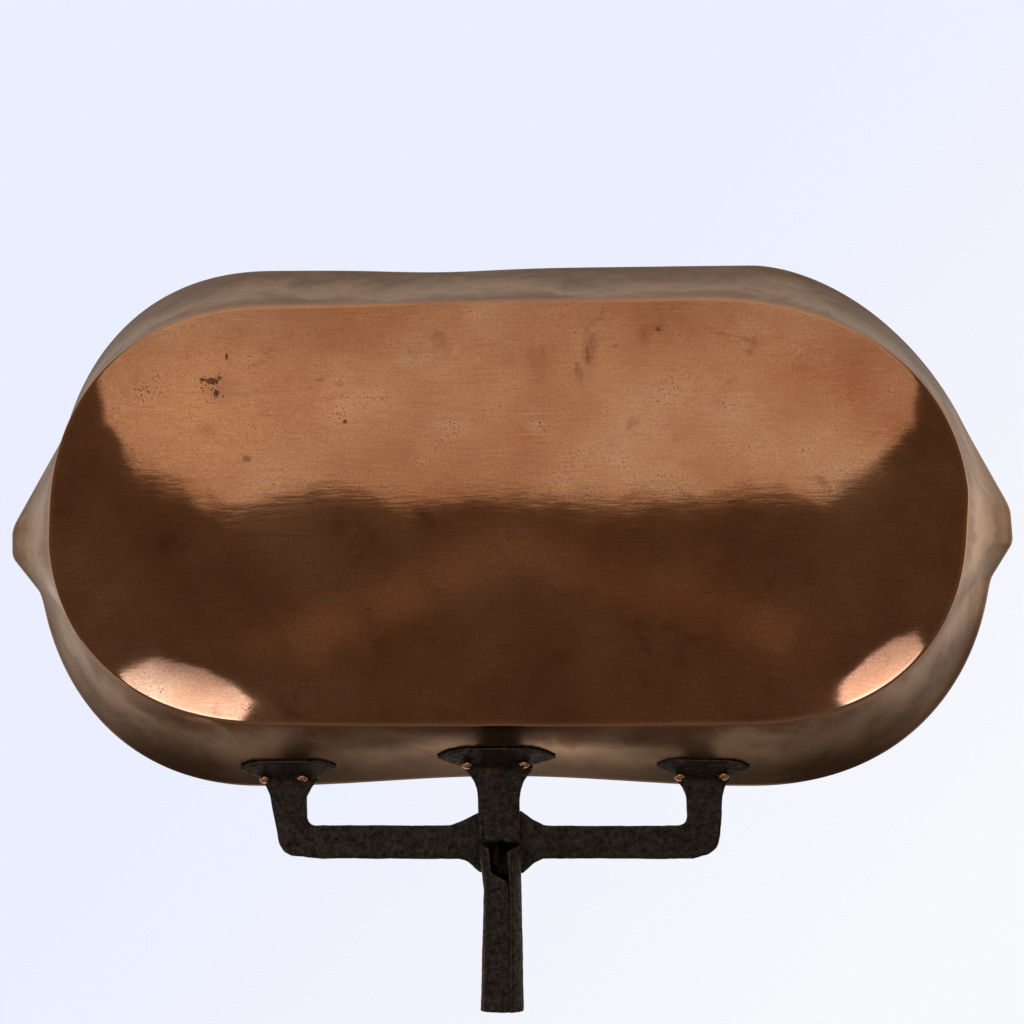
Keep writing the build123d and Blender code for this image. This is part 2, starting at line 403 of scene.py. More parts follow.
def wallFrame(x, z):
    # a place on the near wall with its directions along X, up the wall and outwards
    def outer(height):
        rise = (height - panSpec["edgeRise"]) / (panHigh.z - panSpec["edgeRise"])
        low = nearLine(bottomLine, x)
        return -(low + (nearLine(rimLine, x) - low) * rise)
    up = Vector((0, outer(z + mm) - outer(z), mm)).normalized()
    out = Vector((1, 0, 0)).cross(up)
    return Vector((x, outer(z), z)), up, out


def onWall(x, z, across, rise, out):
    # a point `across` to +X, `rise` up the wall and `out` off it, from a foot's middle
    _, up, _ = wallFrame(x, z)
    place, _, normal = wallFrame(x + across, z + up.z * rise)
    return place + normal * out


# the yoke and the strap, and the feet that both end in
ironSpec = {
    "bar": 6.5 * mm, "lap": 59.5 * mm,
    "barRound": 1.3 * mm, "strapRound": 1.2 * mm,
    "footThick": 3.5 * mm, "footEdge": 1.6 * mm, "footThin": 0.35, "footSunk": 0.4 * mm,
    "footSides": 64, "footRings": (0.18, 0.28), "pointUp": 1.5, "pointDown": 4.5,
    "yokeNear": -197.5 * mm, "yokeOut": -219.0 * mm,
    "legFoot": -168.5 * mm, "legFlare": -172.8 * mm, "legWaist": -179.0 * mm,
    "leftLeg": (128.8 * mm, 149.7 * mm), "rightLeg": (-139.7 * mm, -117.4 * mm),
    "strap": (-9.0 * mm, 18.0 * mm), "strapThin": -229.0 * mm, "strapDrop": 3.2 * mm,
    "yokeVoxel": 1.0 * mm, "strapVoxel": 0.8 * mm, "strapGrain": 0.8,
}
# hammer facets, long lumps, scale and pits: the size of each and how deep it goes
forgeMarks = {
    "facet": (11.0 * mm, 0.35 * mm), "lump": (26.0 * mm, 0.45 * mm), "scale": (4.5 * mm, 0.14 * mm),
    "pit": (2.6 * mm, 0.9 * mm), "pitFrom": 0.28, "pitShift": Vector((9, 3, 5)), "shrink": 0.1 * mm,
    "smoothings": 3,
}
feet = {
    "left": {"x": 140.0 * mm, "half": 32.0 * mm, "z": 48.0 * mm, "down": 9.0 * mm, "up": 20.5 * mm},
    "right": {"x": -127.0 * mm, "half": 31.0 * mm, "z": 47.5 * mm, "down": 9.5 * mm, "up": 20.5 * mm},
    "middle": {"x": 6.0 * mm, "half": 38.5 * mm, "z": 41.0 * mm, "down": 12.5 * mm, "up": 22.0 * mm},
}


def newPlate(outline, low, high, rounding):
    # a flat bar: its outline as a face, extruded and with its long edges rounded
    bm = bmesh.new()
    face = bm.faces.new([bm.verts.new((x, y, low)) for x, y in outline])
    made = bmesh.ops.extrude_face_region(bm, geom=[face])["geom"]
    top = [g for g in made if isinstance(g, bmesh.types.BMVert)]
    bmesh.ops.translate(bm, verts=top, vec=(0, 0, high - low))
    bmesh.ops.recalc_face_normals(bm, faces=bm.faces)
    level = [e for e in bm.edges if abs(e.verts[0].co.z - e.verts[1].co.z) < mm]
    bmesh.ops.bevel(bm, geom=level, offset=rounding, segments=2, profile=0.5,
                    affect="EDGES", material=-1)
    return bm


def addFoot(bm, foot):
    # a pointed plate that follows the wall, thick in the middle and thin at its rim
    spec = ironSpec
    older = set(bm.faces)
    made = bmesh.ops.create_circle(bm, cap_ends=True, segments=spec["footSides"], radius=1)["verts"]
    start = made[0].link_faces[0]
    shellFaces = [start]
    for ring in spec["footRings"]:
        inset = bmesh.ops.inset_region(bm, faces=[start], thickness=ring, use_even_offset=True)
        shellFaces += inset["faces"]
    verts = {v for f in shellFaces for v in f.verts}
    base = bmesh.ops.extrude_face_region(bm, geom=shellFaces)["geom"]
    under = {g for g in base if isinstance(g, bmesh.types.BMVert)}
    for v in list(verts) + list(under):
        a, b = v.co.x, v.co.y
        radius = min(1.0, math.hypot(a, b))
        across = a * foot["half"]
        tall = foot["up"] if b > 0 else foot["down"]
        # the plate's ends are drawn out to points
        flat = spec["pointUp"] if b > 0 else spec["pointDown"]
        rise = 0.0
        if abs(a) < 0.999:
            rise = b * tall * (1 - abs(a) ** flat) / math.sqrt(1 - a * a)
        body = smoothStep((1 - radius) / spec["footThin"])
        thick = spec["footEdge"] + (spec["footThick"] - spec["footEdge"]) * body
        out = thick if v in verts else -spec["footSunk"]
        v.co = onWall(foot["x"], foot["z"], across, rise, out)
    bmesh.ops.recalc_face_normals(bm, faces=[f for f in bm.faces if f not in older])


def forge(bm, name, voxel, grain=1.0):
    # welds the pieces of one forging together, then gives it hammer facets and scale pits
    mesh = bpy.data.meshes.new(name)
    bm.to_mesh(mesh)
    bm.free()
    piece = addObject(name, mesh)
    weld = piece.modifiers.new("weld", "REMESH")
    weld.mode = "VOXEL"
    weld.voxel_size = voxel
    applyModifiers(piece)
    bm = bmesh.new()
    bm.from_mesh(piece.data)
    for _ in range(forgeMarks["smoothings"]):
        bmesh.ops.smooth_vert(bm, verts=bm.verts, factor=0.5, use_axis_x=True,
                              use_axis_y=True, use_axis_z=True)
    bm.normal_update()
    marks = forgeMarks
    (facetSize, facetDeep), (lumpSize, lumpDeep) = marks["facet"], marks["lump"]
    (scaleSize, scaleDeep), (pitSize, pitDeep) = marks["scale"], marks["pit"]
    moves = {}
    for v in bm.verts:
        place = v.co
        facet = dent(place, facetSize) * facetDeep
        lump = noise.noise(place / lumpSize) * lumpDeep
        scale = noise.noise(place / scaleSize) * scaleDeep
        pit = max(0.0, noise.noise(place / pitSize + marks["pitShift"]) - marks["pitFrom"]) * pitDeep
        moves[v] = v.normal * ((lump + scale - facet - pit) * grain - marks["shrink"])
    for v, move in moves.items():
        v.co += move
    bm.to_mesh(piece.data)
    bm.free()
    return piece


def makeYoke():
    # the cross bar and its two legs, as one outline run clockwise from the left foot
    spec = ironSpec
    inLeft, outLeft = spec["leftLeg"]
    outRight, inRight = spec["rightLeg"]
    near, out = spec["yokeNear"], spec["yokeOut"]
    foot, flare, waist = spec["legFoot"], spec["legFlare"], spec["legWaist"]
    outline = [
        (outLeft + 9.0 * mm, foot), (outLeft + 6.4 * mm, flare + 0.6 * mm), (outLeft + 3.8 * mm, waist + mm),
        (outLeft, near), (outLeft - 1.8 * mm, out + 13 * mm), (outLeft - 3 * mm, out + 8.5 * mm),
        (outLeft - 6.2 * mm, out + 4.2 * mm), (outLeft - 11 * mm, out + 1.8 * mm),
        (inLeft - 10 * mm, out), (30 * mm, out), (25 * mm, out - 1.6 * mm), (17 * mm, out - 8.6 * mm),
        (-11 * mm, out - 9.4 * mm), (-18.5 * mm, out - 2.6 * mm), (-24 * mm, out),
        (inRight - 4 * mm, out), (outRight + 8.5 * mm, out + 2.6 * mm),
        (outRight + 3.2 * mm, out + 6.5 * mm), (outRight + 1.0 * mm, out + 12.5 * mm),
        (outRight, near), (outRight - 1.0 * mm, waist), (outRight - 2.6 * mm, flare),
        (outRight - 6.0 * mm, foot),
        (inRight + 7.5 * mm, foot), (inRight + 3.2 * mm, flare), (inRight + 0.6 * mm, waist),
        (inRight, near + 5 * mm), (inRight + 1.4 * mm, near + 1.4 * mm), (inRight + 5 * mm, near),
        (-25 * mm, near), (-18 * mm, near + 3.6 * mm), (-10 * mm, near + 9.5 * mm),
        (18 * mm, near + 8.2 * mm), (27 * mm, near + 3.4 * mm), (36 * mm, near),
        (inLeft - 5 * mm, near), (inLeft - 1.4 * mm, near + 1.4 * mm), (inLeft, near + 5 * mm),
        (inLeft + 0.4 * mm, waist), (inLeft - 2.6 * mm, flare), (inLeft - 7.0 * mm, foot),
    ]
    bm = newPlate(outline, spec["lap"], spec["lap"] + spec["bar"], spec["barRound"])
    for side in ("left", "right"):
        addFoot(bm, feet[side])
    return forge(bm, "forged_yoke", spec["yokeVoxel"])


socketSpec = {
    "start": -206.0 * mm, "end": -312.9 * mm, "height": 47.0 * mm,
    "thick": 2.4 * mm, "aroundCells": 96, "longCells": 90,
    "waist": -238.0 * mm, "waistRadius": 12.2, "waistMiddle": 1.9,     # the tube's narrowest place
    # degrees from the tube's top: both wings start at the strap's edges, then bend round and meet
    "wingStart": 62, "rightBend": 98, "leftBend": 72, "leftClose": 74,
    "rightAfter": 1.0 * mm, "leftAfter": 0.5 * mm, "throatEnd": -226.0 * mm,
    "rightOver": 7.0 * mm, "leftOver": 5.0 * mm, "closeOver": 7.0 * mm,
    # the lap: where the left wing dips under and the right one stands proud, and how much in mm
    "tuckFrom": math.radians(112), "tuckOver": math.radians(50), "tuck": 2.7,
    "knockedFrom": -247.0 * mm, "knockedOver": 22.0 * mm, "knocked": 0.5,
    "proudFrom": math.radians(125), "proudOver": math.radians(34), "proud": 0.6,
    "sunk": 0.2 * mm, "square": 0.03,
}


def socketShape(y):
    # outer radius and middle line of the rolled tube; it widens from its waist to both ends
    past = y - socketSpec["waist"]
    wider, aside = (1.3, 2.4) if past > 0 else (1.5, 0.5)
    t = past / (30.0 * mm) if past > 0 else -past / (75.0 * mm)
    return (socketSpec["waistRadius"] + wider * t) * mm, (socketSpec["waistMiddle"] + aside * t) * mm


def addSocket(bm):
    # a sheet bent round into a tube; its near edge laps over its far edge on the underside
    spec = socketSpec
    older = set(bm.faces)
    made = bmesh.ops.create_grid(bm, x_segments=spec["aroundCells"], y_segments=spec["longCells"],
                                 size=1)["verts"]
    for v in made:
        k, along = (v.co.x + 1) / 2, (v.co.y + 1) / 2
        y = spec["start"] + (spec["end"] - spec["start"]) * along
        radius, middle = socketShape(y)
        rightBent = smoothStep((spec["start"] - spec["rightAfter"] - y) / spec["rightOver"])
        leftBent = smoothStep((spec["start"] - spec["leftAfter"] - y) / spec["leftOver"])
        closed = smoothStep((spec["throatEnd"] - y) / spec["closeOver"])
        rightEnd = math.radians(spec["wingStart"] + spec["rightBend"] * rightBent)
        leftEnd = math.radians(spec["wingStart"] + spec["leftBend"] * leftBent + spec["leftClose"] * closed)
        turn = -rightEnd + (leftEnd + rightEnd) * k
        # the left wing goes under the right one, and is knocked in deep near the throat
        knocked = 1 - smoothStep((spec["knockedFrom"] - y) / spec["knockedOver"])
        under = (spec["tuck"] + spec["knocked"] * knocked) * mm
        tuck = smoothStep((turn - spec["tuckFrom"]) / spec["tuckOver"]) * under
        proud = smoothStep((-turn - spec["proudFrom"]) / spec["proudOver"]) * spec["proud"] * mm
        r = radius - spec["thick"] - tuck + proud - spec["sunk"]
        # hammering has left the tube a little square
        r *= 1 + spec["square"] * math.cos(4 * turn)
        v.co = Vector((middle + r * math.sin(turn), y, spec["height"] + r * math.cos(turn)))
    faces = [f for f in bm.faces if f not in older]
    bmesh.ops.recalc_face_normals(bm, faces=faces)
    bmesh.ops.solidify(bm, geom=faces, thickness=spec["thick"])


# where the socket's bore runs out into the strap as an arched hollow
scoopSpec = {
    "start": -207.0 * mm, "long": 34.0 * mm, "half": 6.4 * mm, "arch": 7.0 * mm, "middle": 3.0 * mm,
    "deep": 4.3 * mm, "shoulder": 0.25, "above": 51.5 * mm, "reach": 1.8 * mm,
}


def makeStrap():
    # the strap as one outline, run clockwise from the middle foot; then its foot and the socket
    spec = ironSpec
    low, high = spec["strap"]
    outline = [
        (high + 9.0 * mm, -0.1612), (high + 5.6 * mm, -0.1652), (high + 2.6 * mm, -0.1694),
        (high + 0.8 * mm, -0.1745), (high + 0.1 * mm, -0.181), (high - 0.6 * mm, -0.208),
        (high - 2.0 * mm, -0.222), (high - 3.6 * mm, -0.234),
        (low + 1.2 * mm, -0.234), (low + 0.2 * mm, -0.222), (low - 0.2 * mm, -0.208),
        (low, -0.181), (low - 0.8 * mm, -0.1745), (low - 2.6 * mm, -0.1694),
        (low - 5.6 * mm, -0.1652), (low - 9.0 * mm, -0.1612),
    ]
    bm = newPlate(outline, spec["lap"] - spec["bar"], spec["lap"], spec["strapRound"])
    addFoot(bm, feet["middle"])
    # past the throat the strap thins to the tube's own gauge
    for v in bm.verts:
        if v.co.y < spec["strapThin"] and v.co.z < spec["lap"] - spec["bar"] / 2:
            v.co.z = spec["lap"] - spec["strapDrop"]
    addSocket(bm)
    strap = forge(bm, "forged_strap", spec["strapVoxel"], spec["strapGrain"])
    scoop = scoopSpec
    for v in strap.data.vertices:
        ahead = scoop["start"] - v.co.y
        under = spec["lap"] - spec["bar"] + scoop["reach"]
        if 0 < ahead < scoop["long"] and scoop["above"] < v.co.z < under:
            half = max(min(scoop["half"], math.sqrt(ahead * scoop["arch"])), 0.1 * mm)
            within = 1 - abs(v.co.x - scoop["middle"]) / half
            v.co.z += scoop["deep"] * smoothStep(within / scoop["shoulder"])
    return strap


# one rivet: radii, and heights from inside the pan outwards
rivetSpec = {
    "head": 3.6 * mm, "headTall": 2.5 * mm, "shank": 2.4 * mm, "foot": 3.1 * mm,
    "tail": 4.2 * mm, "tailTall": 1.2 * mm, "brim": 0.35 * mm, "seat": 0.2 * mm,
    "steps": 48, "domeSteps": 8, "blowSize": 3.0 * mm, "blowDeep": 0.1 * mm,
}
# how far along the wall each rivet stands and how high, in mm
rivetPlaces = {
    "rivet_left_outer": (156.0, 56.0), "rivet_left_inner": (131.8, 55.5),
    "rivet_middle_left": (25.0, 46.5), "rivet_middle_right": (-11.5, 46.0),
    "rivet_right_inner": (-112.3, 55.0), "rivet_right_outer": (-140.3, 53.0),
}


def makeRivet(name, x, z):
    # a profile spun round its axis: flat head inside, shank, domed head outside
    spec = rivetSpec
    head, shank, tail, tailTall = (spec[part] for part in ("head", "shank", "tail", "tailTall"))
    inner, outer = -panSpec["sheet"], spec["foot"]
    brim = outer + spec["brim"]
    profile = [
        (0.0, inner - tailTall), (0.7 * tail, inner - tailTall), (tail, inner - 0.6 * tailTall),
        (tail, inner + spec["seat"]), (shank, inner + spec["seat"]),
        (shank, outer - spec["seat"]), (head, outer - spec["seat"]), (head, brim),
    ]
    for i in range(1, spec["domeSteps"] + 1):
        turn = math.pi / 2 * i / spec["domeSteps"]
        profile.append((head * math.cos(turn), brim + (spec["headTall"] - spec["brim"]) * math.sin(turn)))
    profile[-1] = (0.0, profile[-1][1])
    bm = bmesh.new()
    verts = [bm.verts.new((r, 0, h)) for r, h in profile]
    edges = [bm.edges.new(pair) for pair in zip(verts, verts[1:])]
    bmesh.ops.spin(bm, geom=verts + edges, cent=(0, 0, 0), axis=(0, 0, 1), angle=math.tau,
                   steps=spec["steps"], use_merge=True)
    bmesh.ops.remove_doubles(bm, verts=bm.verts, dist=0.01 * mm)
    bmesh.ops.recalc_face_normals(bm, faces=bm.faces)
    bm.normal_update()
    seed = Vector((x * 31.7, z * 17.3, 4.0))
    for v in bm.verts:
        # a few blows have flattened each dome a little
        v.co += v.normal * noise.noise(v.co / spec["blowSize"] + seed) * spec["blowDeep"]
    place, up, out = wallFrame(x, z)
    turned = Matrix((Vector((1, 0, 0)), up, out)).transposed().to_4x4()
    bmesh.ops.transform(bm, matrix=Matrix.Translation(place) @ turned, verts=bm.verts)
    mesh = bpy.data.meshes.new(name)
    bm.to_mesh(mesh)
    bm.free()
    return addObject("domed_" + name, mesh)


# marks on the bottom, and among them painted warm reflections: x, y and radius in mm, strength, and how long
# the mark is along Y for its width
stainsAndPaintedReflections = {
    "#eeb287": [(196, 62, 75, 0.75, 0.8), (120, 70, 60, 0.35, 0.6)],
    "#74402f": [(-53, 101, 6, 0.4, 2.8), (-47, 88, 4, 0.35, 2.6), (-88, 114, 6, 0.45, 1.6),
                (-98, 118, 7, 0.4, 0.8), (-20, 92, 9, 0.25, 1.6), (182, 78, 16, 0.3, 0.8),
                (190, 52, 9, 0.3, 0.7), (150, 104, 9, 0.25, 0.5)],
    # pale orange patches in the bottom's dark half: painted warm reflections, not marks on the metal
    "#f6b68c": [(150, -84, 22, 0.7, 0.7), (112, -72, 24, 0.7, 0.7), (66, -57, 26, 0.75, 0.7),
                (30, -42, 24, 0.7, 0.8), (-3, -28, 20, 0.55, 1.0), (-116, -40, 30, 0.6, 0.9),
                (-170, -80, 40, 0.55, 0.7)],
    "#a85a34": [(-190, 92, 24, 0.4, 0.8), (-222, 80, 18, 0.45, 1.2)],
    "#e9d2be": [(38, 54, 18, 0.25, 0.6), (-18, 54, 7, 0.35, 0.8), (60, 96, 12, 0.2, 0.6)],
}
crispSpots = {
    "#8a6e5e": [(164, 33, 3.2, 0.8, 0.8), (118, 84, 3.4, 0.5, 0.4), (106, 81, 4, 0.35, 0.6)],
    "#4a2a1c": [(187, 83, 5.0, 0.9, 0.45), (193, 84, 2.2, 0.9, 0.6), (184, 75, 1.9, 0.95, 1.4),
                (178, 99, 0.9, 0.85, 3.0), (102, 57, 1.5, 0.9, 1.0), (182, 85, 2.2, 0.8, 0.5),
                (-70, 106, 2.2, 0.35, 0.5), (-97, 117, 1.7, 0.7, 0.9), (-52, 100, 1.8, 0.3, 4.0),
                (-45, 92, 1.5, 0.3, 3.4), (86, -62, 1.8, 0.5, 0.5)],
}
pitSpots = [
    (187, 82, 13, 0.8, 0.7), (180, 74, 5, 0.8, 1.4), (200, 60, 16, 0.5, 0.6), (224, 75, 20, 0.6, 1.0),
    (38, 54, 16, 0.6, 0.7), (-20, 56, 8, 0.8, 0.7), (-60, 62, 12, 0.5, 0.8), (160, -122, 9, 0.8, 0.7),
]
softMark = {"grit": 5.263, "blur": 0.95}      # grit in mm; blur is how gently a mark fades
crispMark = {"grit": 1.4286, "blur": 0.25}
markEdge = 2.1


def spotMask(tree, coords, spots, mark=softMark):
    # where a few ragged marks lie, from the distance to each one's middle
    ragged = addNode(tree, "ShaderNodeTexNoise", {"Scale": perSize(mark["grit"]), "Detail": 8.0,
                                                  "Roughness": 0.8}, {"Vector": coords})
    mask = None
    for x, y, wide, strength, stretch in spots:
        tall = wide * stretch
        near = addNode(tree, "ShaderNodeMapping", {"Location": (-x / wide, -y / tall, 0),
                                                   "Scale": (perSize(wide), perSize(tall), 0)},
                       {"Vector": coords})
        far = addNode(tree, "ShaderNodeVectorMath", {"operation": "LENGTH"}, {0: near.outputs[0]})
        rough = addNode(tree, "ShaderNodeMath", {"operation": "MULTIPLY_ADD", 1: 2.2},
                        {0: ragged.outputs["Fac"], 2: far.outputs["Value"]})
        part = addNode(tree, "ShaderNodeMapRange", {1: markEdge, 2: markEdge - mark["blur"], 4: strength},
                       {0: rough.outputs[0]}).outputs[0]
        if mask is not None:
            part = addNode(tree, "ShaderNodeMath", {"operation": "MAXIMUM"}, {0: mask, 1: part}).outputs[0]
        mask = part
    return mask


# polishing lines and scratches in several directions: turn, length and width in mm, where they
# start in the noise, strength and colour
polishLines = [
    (0.06, 16.667, 1.25, 0.52, 0.16, "#8d5c42"), (-0.42, 35.714, 0.47619, 0.66, 0.34, "#f0cdb2"),
    (0.30, 29.412, 0.52632, 0.66, 0.34, "#7a4d36"), (1.35, 33.333, 0.41667, 0.67, 0.30, "#e8c0a2"),
    (-0.10, 41.667, 0.58824, 0.62, 0.40, "#ecc6a8"), (0.12, 55.556, 2.381, 0.60, 0.26, "#a3715a"),
]


def hammeredCopper():
    # old copper, planished and worn: a soft mirror with orange-brown metal, brown tarnish,
    # pits and fine polishing lines, with painted warm reflections on the bottom, a painted light streak on
    # the walls and a painted dark reflection on the near wall
    material, tree = newMaterial("hammered_copper_tarnished")
    coords = addNode(tree, "ShaderNodeTexCoord").outputs["Object"]
    split = addNode(tree, "ShaderNodeSeparateXYZ", links={"Vector": coords})
    # broad clouds of tarnish
    clouds = addNode(tree, "ShaderNodeTexNoise", {"Scale": perSize(90.91), "Detail": 5.0, "Roughness": 0.55},
                     {"Vector": coords})
    tint = addNode(tree, "ShaderNodeValToRGB", {
        "stops": ((0.30, "#b87c5c"), (0.5, "#cf9773"), (0.70, "#e2b290"))}, {"Fac": clouds.outputs["Fac"]})
    # cuprite: redder, darker stains, in a few places only
    stain = addNode(tree, "ShaderNodeTexNoise", {"Scale": perSize(33.333), "Detail": 6.0,
                                                 "Roughness": 0.6, "Distortion": 0.6}, {"Vector": coords})
    stainMask = addNode(tree, "ShaderNodeMapRange", {1: 0.60, 2: 0.74, 4: 0.65},
                        {0: stain.outputs["Fac"]})
    stained = addNode(tree, "ShaderNodeMix", {"data_type": "RGBA", 7: linear("#945a49")},
                      {0: stainMask.outputs[0], 6: tint.outputs["Color"]})
    # the listed stains, and the pale orange patches that are painted warm reflections
    for colour, spots in stainsAndPaintedReflections.items():
        stained = addNode(tree, "ShaderNodeMix", {"data_type": "RGBA", 7: linear(colour)},
                          {0: spotMask(tree, coords, spots), 6: stained.outputs[2]})
    for colour, spots in crispSpots.items():
        stained = addNode(tree, "ShaderNodeMix", {"data_type": "RGBA", 7: linear(colour)},
                          {0: spotMask(tree, coords, spots, crispMark), 6: stained.outputs[2]})
    # fine grain
    mottle = addNode(tree, "ShaderNodeTexNoise", {"Scale": perSize(1.5625), "Detail": 5.0,
                                                  "Roughness": 0.82}, {"Vector": coords})
    mottleRange = addNode(tree, "ShaderNodeMapRange", {1: 0.42, 2: 0.68, 4: 0.50},
                          {0: mottle.outputs["Fac"]})
    mottled = addNode(tree, "ShaderNodeMix", {"data_type": "RGBA", 7: linear("#92603f")},
                      {0: mottleRange.outputs[0], 6: stained.outputs[2]})
    scored = mottled
    for turn, long, wide, start, part, colour in polishLines:
        stretched = addNode(tree, "ShaderNodeMapping", {
            "Scale": (perSize(long), perSize(wide), perSize(wide)), "Rotation": (0, 0, turn)},
            {"Vector": coords})
        lines = addNode(tree, "ShaderNodeTexNoise", {"Scale": 1.0, "Detail": 3.0, "Roughness": 0.6,
                                                     "Distortion": 0.5}, {"Vector": stretched.outputs[0]})
        lineRange = addNode(tree, "ShaderNodeMapRange", {1: start, 2: start + 0.1, 4: part},
                            {0: lines.outputs["Fac"]})
        scored = addNode(tree, "ShaderNodeMix", {"data_type": "RGBA", 7: linear(colour)},
                         {0: lineRange.outputs[0], 6: scored.outputs[2]})
    # pits: small dark specks of uneven shape, thickest in a few clusters
    warp = addNode(tree, "ShaderNodeTexNoise", {"Scale": perSize(0.90909), "Detail": 2.0},
                   {"Vector": coords})
    warpBy = addNode(tree, "ShaderNodeVectorMath", {"operation": "SCALE", "Scale": 1.6 * mm},
                     {0: warp.outputs["Color"]})
    warped = addNode(tree, "ShaderNodeVectorMath", {"operation": "ADD"},
                     {0: coords, 1: warpBy.outputs[0]})
    specks = addNode(tree, "ShaderNodeTexVoronoi", {"Scale": perSize(2.1739), "Randomness": 1.0},
                     {"Vector": warped.outputs[0]})
    clusters = addNode(tree, "ShaderNodeTexNoise", {"Scale": perSize(45.455), "Detail": 6.0,
                                                    "Roughness": 0.7}, {"Vector": coords})
    crowding = addNode(tree, "ShaderNodeMath", {"operation": "MULTIPLY_ADD", 1: 0.30},
                       {0: spotMask(tree, coords, pitSpots), 2: clusters.outputs["Fac"]})
    speckSize = addNode(tree, "ShaderNodeMapRange", {1: 0.44, 2: 0.90, 3: 0.03, 4: 0.46},
                        {0: crowding.outputs[0]})
    speckMask = addNode(tree, "ShaderNodeMath", {"operation": "LESS_THAN"},
                        {0: specks.outputs["Distance"], 1: speckSize.outputs[0]})
    speckPart = addNode(tree, "ShaderNodeMath", {"operation": "MULTIPLY", 1: 0.75},
                        {0: speckMask.outputs[0]})
    pitted = addNode(tree, "ShaderNodeMix", {"data_type": "RGBA", 7: linear("#5a3022")},
                     {0: speckPart.outputs[0], 6: scored.outputs[2]})
    # the wall carries a greyer, browner skin than the polished bottom
    wallMask = addNode(tree, "ShaderNodeMapRange", {1: 3.2 * mm, 2: 7.5 * mm},
                       {0: split.outputs["Z"]})
    grime = addNode(tree, "ShaderNodeTexNoise", {"Scale": perSize(58.824), "Detail": 8.0,
                                                 "Roughness": 0.66, "Distortion": 0.4}, {"Vector": coords})
    # its tint changes with height: brown under the edge, a paler middle and dark towards the rim, a painted
    # reflection of a light streak along the wall laid over the random tarnish
    paintedStreakBands = addNode(tree, "ShaderNodeMapRange", {1: 3.0 * mm, 2: 68.0 * mm, 3: -0.26, 4: 0.34},
                    {0: split.outputs["Z"]})
    tarnishAndPaintedStreak = addNode(tree, "ShaderNodeMath", {"operation": "ADD"},
                     {0: paintedStreakBands.outputs[0], 1: grime.outputs["Fac"]})
    wallTintWithPaintedStreak = addNode(tree, "ShaderNodeValToRGB", {"stops": (
        (0.12, "#95674a"), (0.30, "#a97f61"), (0.44, "#cfae93"), (0.56, "#bb9a80"), (0.74, "#8c6e56"),
        (0.95, "#a3866d"))}, {"Fac": tarnishAndPaintedStreak.outputs[0]})
    walled = addNode(tree, "ShaderNodeMix", {"data_type": "RGBA"},
                     {0: wallMask.outputs[0], 6: pitted.outputs[2], 7: wallTintWithPaintedStreak.outputs["Color"]})
    # the edge between them is rubbed back to bright metal
    edgeUp = addNode(tree, "ShaderNodeMapRange", {1: 2.9 * mm, 2: 3.3 * mm},
                     {0: split.outputs["Z"]})
    edgeDown = addNode(tree, "ShaderNodeMapRange", {1: 3.7 * mm, 2: 5.2 * mm, 3: 0.7, 4: 0.0},
                       {0: split.outputs["Z"]})
    edgePart = addNode(tree, "ShaderNodeMath", {"operation": "MULTIPLY"},
                       {0: edgeUp.outputs[0], 1: edgeDown.outputs[0]})
    rubbed = addNode(tree, "ShaderNodeMix", {"data_type": "RGBA", 7: linear("#f0bd9a")},
                     {0: edgePart.outputs[0], 6: walled.outputs[2]})
    # painted dark reflection: the near wall darkened round the handle's feet, most towards the rim
    darkReflectionHigh = addNode(tree, "ShaderNodeMapRange", {1: 32.0 * mm, 2: 56.0 * mm, 4: 0.78},
                       {0: split.outputs["Z"]})
    darkReflectionNear = addNode(tree, "ShaderNodeMapRange", {1: -135.0 * mm, 2: -158.0 * mm},
                       {0: split.outputs["Y"]})
    paintedDarkReflection = addNode(tree, "ShaderNodeMath", {"operation": "MULTIPLY"},
                       {0: darkReflectionHigh.outputs[0], 1: darkReflectionNear.outputs[0]})
    withPaintedDarkReflection = addNode(tree, "ShaderNodeMix", {"data_type": "RGBA", 7: linear("#5d432e")},
                      {0: paintedDarkReflection.outputs[0], 6: rubbed.outputs[2]})
    # roughness: a soft mirror, duller where the tarnish is thick and on the walls
    rough = addNode(tree, "ShaderNodeMapRange", {1: 0.3, 2: 0.7, 3: 0.04, 4: 0.075},
                    {0: mottle.outputs["Fac"]})
    roughWall = addNode(tree, "ShaderNodeMix", {3: 0.24},
                        {0: wallMask.outputs[0], 2: rough.outputs[0]})
    # relief: a long hand-polished ripple, fine planishing and pits
    rippleMap = addNode(tree, "ShaderNodeMapping", {
        "Scale": (perSize(16.129), perSize(3.0303), perSize(3.0303))}, {"Vector": coords})
    ripple = addNode(tree, "ShaderNodeTexNoise", {"Scale": 1.0, "Detail": 3.0, "Roughness": 0.55},
                     {"Vector": rippleMap.outputs[0]})
    rippleBump = addNode(tree, "ShaderNodeBump", {"Strength": 1.0, "Distance": 0.013 * mm},
                         {"Height": ripple.outputs["Fac"]})
    grainBump = addNode(tree, "ShaderNodeBump", {"Strength": 1.0, "Distance": 0.004 * mm},
                        {"Height": mottle.outputs["Fac"], "Normal": rippleBump.outputs[0]})
    pitBump = addNode(tree, "ShaderNodeBump", {"Strength": 0.5, "Distance": 0.1 * mm, "invert": True},
                      {"Height": speckMask.outputs[0], "Normal": grainBump.outputs[0]})
    shader = addNode(tree, "ShaderNodeBsdfPrincipled", {"Metallic": 1.0},
                     {"Base Color": withPaintedDarkReflection.outputs[2], "Roughness": roughWall.outputs[0],
                      "Normal": pitBump.outputs[0]})
    addNode(tree, "ShaderNodeOutputMaterial", links={"Surface": shader.outputs[0]})
    return material


